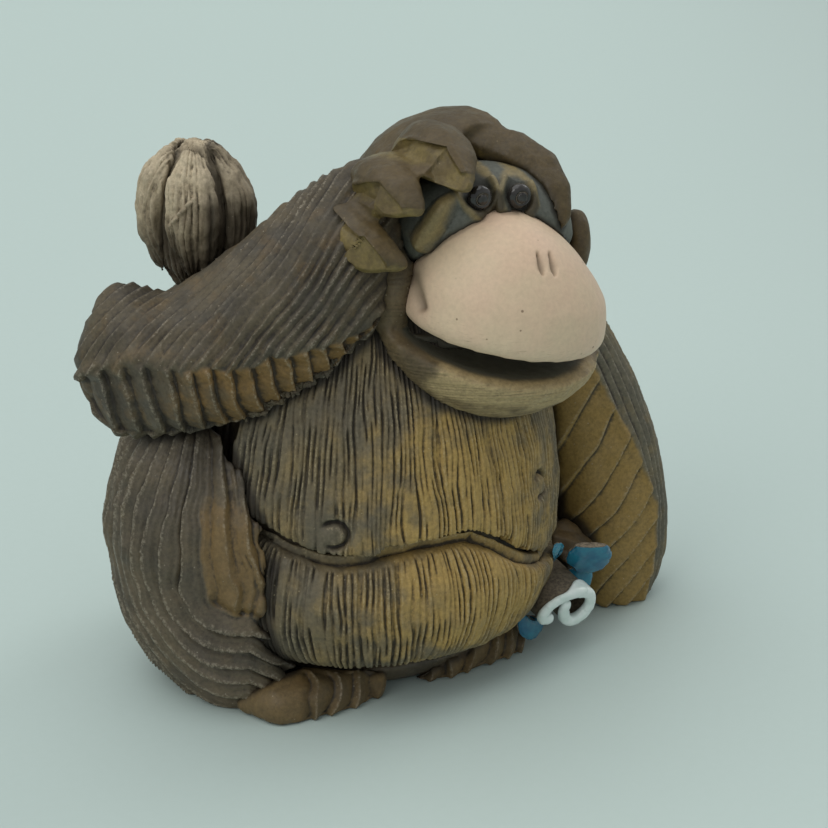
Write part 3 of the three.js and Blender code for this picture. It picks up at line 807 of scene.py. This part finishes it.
def head_axes():
    """The head's own directions, turned by set angles, and the point between the two eyes."""
    right = (place("right_eye", 0.5, 0.5, 0.5) + place("left_eye", 0.5, 0.5, 0.5)) / 2
    turn = Matrix.Rotation(math.radians(-13), 3, "Z")
    roll = Matrix.Rotation(math.radians(12), 3, "Y")
    pitch = Matrix.Rotation(math.radians(3), 3, "X")
    return right, np.array(turn @ roll @ pitch)


EYES_MID, HEAD = head_axes()
EYE_OUT = 3.2  # mm from the middle of the face to each eye
EYE_SHIFT = -1.4  # both eyes sit a little to the ape's right of their solids
EYE_UP = 0.2
EYE_BACK = 1.5  # how deep the pellets are pressed in


def on_head(p):
    """Head coordinates with the point between the eyes as origin: left, back, up."""
    return (p - EYES_MID) @ HEAD


def build_head():
    skin = Skin(form("skull_skin", ["skull"], 0.25, 1.2, 6, 2))
    q = on_head(skin.p)
    behind = ramp(q[:, 1], 16, 24)
    hair = valleys(np.degrees(np.arctan2(q[:, 0] - 2, q[:, 1])) / 9.0, 0.6, 1.3)
    skin.push(hair * behind + clay_lumps(skin.p, 0.2, 81))
    close = skin.distance_to("muzzle", "right_arm", "left_arm", "right_palm", reach=JOINT_REACH)
    # Painted shade: darkening where the skull meets the muzzle, arms and palm.
    finish(skin, BODY, ["skull"], "brown_clay", brown_clay, 14, crease=1 - ramp(close, 0.3, 1.8))

    skin = Skin(form("face_plate", ["face_mask"], 0.3, 0.8, 3, 2))
    q = on_head(skin.p)
    d, _ = segment_distance(q, (-8.3, 0.8, 3.2), (-11.4, 3.4, -8.6))
    depth = 2.4 * np.clip(1 - d / 2.2, 0, 1)
    rims = np.zeros(skin.count)
    sockets = np.zeros(skin.count)
    edges = np.zeros(skin.count)
    for sign in (-1, 1):
        r = np.linalg.norm((q - np.array([sign * EYE_OUT + EYE_SHIFT, 0, EYE_UP]))[:, [0, 2]], axis=1)
        edges = np.maximum(edges, np.exp(-(((r - 3.0) / 0.6) ** 2)) * (q[:, 1] < 4))
        rims = np.maximum(rims, np.exp(-(((r - 3.1) / 0.7) ** 2)))
        sockets = np.maximum(sockets, np.exp(-((r / 2.5) ** 4)))
    depth = depth + 0.9 * edges - 0.6 * sockets
    skin.push(depth + clay_lumps(skin.p, 0.12, 83))
    close = skin.distance_to(
        "muzzle", "right_eye", "left_eye", "right_middle_finger", "right_index_finger",
        "right_palm", reach=JOINT_REACH,
    )
    ridge = np.exp(-((d / 1.7) ** 2))
    # Painted shade: darkening in the eye sockets and where the face meets the muzzle, eyes and fingers.
    finish(
        skin, BODY, ["face_mask"], "brown_clay", face_clay, 14,
        tone=np.maximum(1.2 * ridge, 0.9 * rims),
        crease=np.maximum(0.9 * (1 - ramp(close, 0.3, 1.2)), 0.85 * sockets),
    )

    skin = Skin(form("muzzle_skin", ["muzzle"], 0.25, 0.9, 6, 2))
    q = on_head(skin.p)
    depth = 0.12 * fractal(skin.p / 9.0, 2, 85)
    slits = np.zeros(skin.count)
    for sign in (-1, 1):
        start = (3.9 + sign * 1.1, -5.4)
        end = (4.5 + sign * 1.1, -7.6)
        d, t = segment_distance(q[:, [0, 2]], start, end)
        wide = 0.3 + 0.45 * np.sin(math.pi * t) * t
        slits = np.maximum(slits, np.exp(-((d / wide) ** 2)) * (q[:, 1] < -2))
    seen = np.stack(front_view(skin.p, place("muzzle", 0.5, 0.5, 0.5)), -1)
    left = seen[np.argmin(seen[:, 0])]
    d, t = segment_distance(seen, left + np.array([1.9, 3.6]), left + np.array([3.0, -1.6]))
    corner = np.exp(-((d / 0.75) ** 2)) * (0.4 + 0.6 * t) * (skin.n @ TOWARD > 0)
    skin.push(depth - 0.8 * slits - 1.0 * corner)
    close = skin.distance_to("face_mask", "skull", reach=JOINT_REACH)
    low = ramp(-q[:, 2], 15.5, 21) * ramp(-q[:, 1], 0, 6) + 0.5 * ramp(-q[:, 0], 8, 13)
    # Painted shade: darkening in the nostrils, in the mouth's corner and where the muzzle meets the face.
    finish(
        skin, BODY, ["muzzle"], "bisque_clay", bisque_clay, 14,
        tone=low, crease=np.clip(0.75 * slits + 0.95 * corner + 0.5 * (1 - ramp(close, 0.2, 0.9)), 0, 1),
    )

    skin = Skin(form("jaw_skin", ["lower_jaw"], 0.25, 0.9, 4, 2))
    q = on_head(skin.p)
    n = skin.n @ HEAD
    top = ramp(n[:, 2], 0.35, 0.75)
    r = np.hypot((q[:, 0] - 4.0) / 18.5, (q[:, 1] - 8.0) / 17.0)
    bowl = top * (1 - ramp(r, 0.45, 0.98))
    outer = 1 - top
    lines = combed(skin.p[:, 2] * 1.6 + 0.1 * skin.p[:, 1], skin.p[:, 0], 88, 0.16)
    skin.push(-2.2 * bowl + lines * outer + clay_lumps(skin.p, 0.12, 87))
    close = skin.distance_to("chest_slab", "skull", reach=JOINT_REACH)
    rim = np.exp(-(((r - 0.99) / 0.09) ** 2)) * ramp(-q[:, 1], -4, 4)
    jowl = ramp(-q[:, 0], 6.0, 11.5)
    # Painted shade: darkening where the jaw meets the chest and skull; the jowl's share is its own darker
    # brown.
    finish(
        skin, BODY, ["lower_jaw"], "olive_clay", jaw_clay, 14,
        tone=(0.9 * rim + 0.35 * outer) * (1 - 1.1 * jowl) - 0.3 * jowl,
        extra=top * (1 - ramp(r, 0.86, 0.97)),
        crease=np.maximum(1 - ramp(close, 0.4, 2.0), 0.3 * jowl),
    )

    skin = Skin(form("ear_skin", ["left_ear"], 0.25, 0.8, 3, 2))
    skin.push(clay_lumps(skin.p, 0.2, 89))
    close = skin.distance_to("skull", reach=2.0)
    # Painted shade: darkening where the ear meets the skull.
    finish(skin, BODY, ["left_ear"], "olive_clay", olive_clay, 14, crease=1 - ramp(close, 0.4, 1.4))

    for node in ("right_eye", "left_eye"):
        skin = Skin(form(node + "_ball", [node], 0.2, 0.5, 2, 2))
        mid = place(node, 0.5, 0.5, 0.5)
        q = (skin.p - mid) @ HEAD
        q = q * 0.86
        q[:, 1] = np.where(q[:, 1] < 0, q[:, 1] * 0.6, q[:, 1]) + EYE_BACK
        q = q + np.array([EYE_SHIFT, 0, EYE_UP])
        skin.p = mid + q @ HEAD.T
        skin.write()
        skin.read()
        r = np.hypot(q[:, 0] - EYE_SHIFT - 0.15, q[:, 2] - EYE_UP)
        ring = np.exp(-(((r - 1.0) / 0.16) ** 2)) * (q[:, 1] < 1.9)
        skin.push(-0.3 * ring)
        finish(skin, BODY, [node], "eye_glaze", eye_glaze, 10, extra=1 - 0.75 * ring)


FACET_DEPTH = 1.5  # mm that the facet under a claw is cut in at most


def build_hand():
    """The palm and fingers as one skin, with a facet cut under the ridge of each claw."""
    nodes = [
        "right_palm", "right_little_finger", "right_ring_finger", "right_middle_finger",
        "right_index_finger",
    ]
    skin = Skin(form("right_hand", nodes, 0.4, 0.6, 3, 2))
    # The ridge of each claw from its root over the knuckle to the tip, in the head's own axes, mm.
    ridges = (
        ((-24.4, 13.7, -4.4), (-20.5, 2.5, 0.2), (-18.0, -2.0, -2.1)),
        ((-18.0, 14.2, 4.7), (-11.0, 2.2, 6.9), (-9.5, -1.6, 4.3)),
        ((-24.9, 12.8, -4.9), (-21.9, 1.3, -8.2), (-18.3, -1.6, -11.6)),
    )
    q = on_head(skin.p)
    up, toward = UPWARD @ HEAD, TOWARD @ HEAD
    best = np.full(skin.count, 99.0)
    moved = np.zeros_like(q)
    facet = np.zeros(skin.count)
    for stops in ridges:
        for a, b in zip(stops[:-1], stops[1:]):
            a, b = np.array(a), np.array(b)
            far, t = segment_distance(q, a, b)
            along = (b - a) / np.linalg.norm(b - a)
            off = q - a - t[:, None] * (b - a)
            aim = 0.88 * toward - 0.48 * up
            aim = aim - along * (aim @ along)
            aim = aim / np.linalg.norm(aim)
            below = ramp(-(off @ up), 0.0, 0.3) * ramp(far, 5.5, 4.5)
            beyond = np.clip(off @ aim, 0, FACET_DEPTH) * below
            closer = far < best
            best = np.where(closer, far, best)
            moved = np.where(closer[:, None], -beyond[:, None] * aim, moved)
            facet = np.where(closer, below, facet)
    skin.p = skin.p + moved @ HEAD.T
    skin.write()
    skin.read()
    skin.push(0.4 * np.exp(-((best / 0.45) ** 2)))
    skin.push(clay_lumps(skin.p, 0.12, 91) + 0.04 * fractal(skin.p / 0.8, 2, 92))
    close = skin.distance_to("face_mask", "skull", "muzzle", reach=2.0)
    under = ramp(-skin.n[:, 2], 0.0, 0.35)
    # Painted shade: darkening where the hand meets the face, skull and muzzle.
    finish(
        skin, BODY, nodes, "olive_clay", olive_clay, 16,
        tone=np.maximum(0.5 * under, 0.62 * facet), crease=0.9 * (1 - ramp(close, 0.3, 1.3)),
    )


# ---- flower ------------------------------------------------------------------------------------------


def build_flower():
    skin = Skin(form("flower_throat_skin", ["flower_throat"], 0.12, 0.3, 3, 1))
    back = place("flower_throat", 0.5, 1.0, 0.75)
    front = place("flower_throat", 0.5, 0.0, 0.25)
    along = (front - back) / np.linalg.norm(front - back)
    far = (skin.p @ along).max() - skin.p @ along
    hub = place("flower_throat", 0.72, 0.0, 0.35)
    off = skin.p - hub
    inward = -((off - (off @ along)[:, None] * along) * skin.n).sum(1)
    side = ramp(skin.p[:, 0], hub[0] - 3.5, hub[0] + 1.5)
    reach = np.where(inward > 0, 1.3, 1.3 + 2.6 * side)
    lip = ramp(far, reach + 0.4, reach - 0.4)
    skin.push(0.45 * lip)
    finish(skin, BODY, ["flower_throat"], "white_glaze", white_glaze, 6, extra=lip)
    for i in range(1, 5):
        node = "petal_%d" % i
        skin = Skin(form(node + "_skin", [node], 0.15, 0.4, 2, 2))
        mid = skin.p.mean(0)
        dish = np.exp(-((np.linalg.norm(skin.p - mid, axis=1) / 3.0) ** 2)) * ramp(-skin.n[:, 1], 0.2, 0.6)
        skin.push(-0.5 * dish + 0.08 * fractal(skin.p / 1.4, 2, 95))
        glazed_face = ramp(-skin.n[:, 1], -0.1, 0.35)
        if i == 1:  # the front petal is cut off flat and bare on top
            top = np.array([mid[0], mid[1], skin.p[:, 2].max() - 1.0])
            skin.pare(top, (0.1, -0.1, 1.0), 1.0)
            glazed_face = glazed_face * ramp(skin.n[:, 2], 0.8, 0.6)
        if i == 4:  # only a sliver of this one shows past the throat
            skin.p = hub + (skin.p - hub) * 0.86 + np.array([0, 0.6, 0])
            skin.write()
            skin.read()
        finish(skin, BODY, [node], "blue_glaze", blue_glaze, 8, extra=glazed_face)
    skin = Skin(form("left_hand_skin", ["left_hand"], 0.25, 0.8, 3, 2))
    skin.push(valleys((skin.p[:, 2] + 0.4 * skin.p[:, 0]) / 3.4, 0.7, 1.2) + clay_lumps(skin.p, 0.2, 96))
    # Painted shade: the whole hand is darkened evenly by a fixed amount.
    finish(
        skin, BODY, ["left_hand"], "brown_clay", brown_clay, 14,
        tone=0.5 * np.ones(skin.count), crease=0.35 * np.ones(skin.count),
    )


# ---- tail --------------------------------------------------------------------------------------------


def build_tail():
    skin = Skin(form("tail_skin", ["tail"], 0.25, 0.9, 5, 2))
    p = skin.p
    stops = [
        place("tail", 0.93, 0.45, 0.02), place("tail", 0.6, 0.72, 0.2), place("tail", 0.26, 0.7, 0.49),
        place("tail", 0.14, 0.4, 0.78), place("tail", 0.14, 0.12, 1.0),
    ]
    a, angle = spine_frame(p, stops, np.array([0.0, 1.0, 0.2]))
    skin.push(valleys(np.degrees(angle) / 30.0 + 2.5 * a, 0.6, 1.3) + clay_lumps(p, 0.2, 101))
    finish(skin, BODY, ["tail"], "brown_clay", brown_clay, 14)
    for node in TUFT:
        skin = Skin(form(node + "_skin", [node], 0.3, 0.7, 3, 2))
        p = skin.p
        mid = place("tail_tuft_core", 0.5, 0.5, 0.5)
        angle = np.arctan2(p[:, 1] - mid[1], p[:, 0] - mid[0])
        skin.push(combed(angle * 8.0, p[:, 2], 103, 0.4) + clay_lumps(p, 0.45, 104))
        skin.push(0.35 * fractal(skin.p / np.array([1.6, 1.6, 4.0]), 3, 105))
        x, y = front_view(skin.p, mid)
        shade = ramp(x, 1.6, 3.0) * (0.35 + 0.55 * ramp(y, 3.5, -1.5))
        d, _ = segment_distance(np.stack([x, y], -1), (-3.3, -2.9), (0.5, 1.0))
        skin.push(0.5 * np.exp(-((d / 0.3) ** 2)) * (skin.n @ TOWARD > 0))
        close = skin.distance_to(*[other for other in TUFT if other != node], reach=2.0)
        finish(
            # Painted light and shade: the tops of the locks are lightened, and their lower parts and right
            # sides darkened, as are the joints between locks.
            skin, BODY, [node], "tuft_clay", tuft_clay, 14,
            tone=ramp(p[:, 2], 72, 86) * 0.7,
            crease=np.clip(
                0.85 * (1 - ramp(close, 0.4, 1.6)) + 0.85 * ramp(p[:, 2], 78, 69)
                + shade, 0, 0.95
            ),
        )


build_trunk()
build_right_arm()
build_haunches()
build_left_arm()
build_back()
build_feet()
build_head()
build_hand()
build_flower()
build_tail()


# ---- floor, lights, camera ---------------------------------------------------------------------------


def build_stage():
    size, rise = 1.4, 0.9
    mesh = bpy.data.meshes.new("backdrop")
    steps_back, steps_side = 40, 2
    verts, faces = [], []
    turn = Matrix.Rotation(math.radians(-33), 3, "Z")
    for i in range(steps_back + 1):
        s = i / steps_back
        y, z = -size + s * 2.4 * size, 0.0
        bend = 0.75
        if y > bend:
            t = (y - bend) / 1.3
            z = rise * t * t
        for j in range(steps_side + 1):
            x = (j / steps_side - 0.5) * 4 * size
            verts.append(turn @ Vector((x, y, z - 0.0002)))
    for i in range(steps_back):
        for j in range(steps_side):
            k = i * (steps_side + 1) + j
            faces.append((k, k + 1, k + steps_side + 2, k + steps_side + 1))
    mesh.from_pydata(verts, [], faces)
    mesh.polygons.foreach_set("use_smooth", np.ones(len(faces), bool))
    floor = link(bpy.data.objects.new("backdrop", mesh))
    m = Nodes("backdrop")
    fine = m.noise(0.6, 3.0)
    colour = m.blend(m.scaled(fine, 0.3, 0.7, 0.0, 0.25), rgb(0.50, 0.60, 0.565), rgb(0.52, 0.62, 0.59))
    at = m.add("ShaderNodeNewGeometry").outputs["Position"]
    right = m.add("ShaderNodeVectorMath", {0: at, 1: tuple(ACROSS)}, operation="DOT_PRODUCT").outputs["Value"]
    shade = m.scaled(right, 0.03, 0.26, 0.0, 0.9)
    colour = m.blend(shade, colour, rgb(0.415, 0.485, 0.46))
    shader = m.add(
        "ShaderNodeBsdfPrincipled", {"Base Color": colour, "Roughness": 0.55, "Specular IOR Level": 0.3}
    )
    m.tree.links.new(shader.outputs[0], m.out.inputs[0])
    mesh.materials.append(m.material)


def lamp(name, toward, strength, spread, colour=(1, 1, 1)):
    """Soft light without a place, as from a bright ceiling or a window. toward points at it."""
    light = bpy.data.lights.new(name, "SUN")
    light.energy = strength
    light.angle = math.radians(spread)
    light.color = colour
    obj = link(bpy.data.objects.new(name, light))
    obj.rotation_euler = Vector(toward).to_track_quat("Z", "Y").to_euler()
    return obj


build_stage()
lamp("ceiling", (-0.25, 0.15, 1.0), 1.1, 70, (1.0, 1.0, 0.98))
lamp("window", (-0.95, -0.35, 0.75), 0.48, 30, (1.0, 0.99, 0.96))
lamp("side", (0.9, 0.1, 0.7), 0.40, 30, (1.0, 1.0, 1.0))

world = bpy.data.worlds.new("room")
bpy.context.scene.world = world
world.use_nodes = True
background = world.node_tree.nodes["Background"]
background.inputs["Color"].default_value = (0.93, 0.97, 1.0, 1)
background.inputs["Strength"].default_value = 0.52

camera = bpy.data.cameras.new("camera")
camera.lens = 104.35
camera.sensor_width = 36.0
eye = link(bpy.data.objects.new("camera", camera))
target = Vector((0.0028, 0.0001, 0.041))
azimuth = math.radians(-33)
elevation = math.radians(22)
distance = 0.400
direction = Vector((
    math.sin(azimuth) * math.cos(elevation),
    -math.cos(azimuth) * math.cos(elevation),
    math.sin(elevation),
))
eye.location = target + distance * direction
eye.rotation_euler = (-direction).to_track_quat("-Z", "Y").to_euler()
bpy.context.scene.camera = eye
bpy.context.scene.view_settings.view_transform = "Standard"
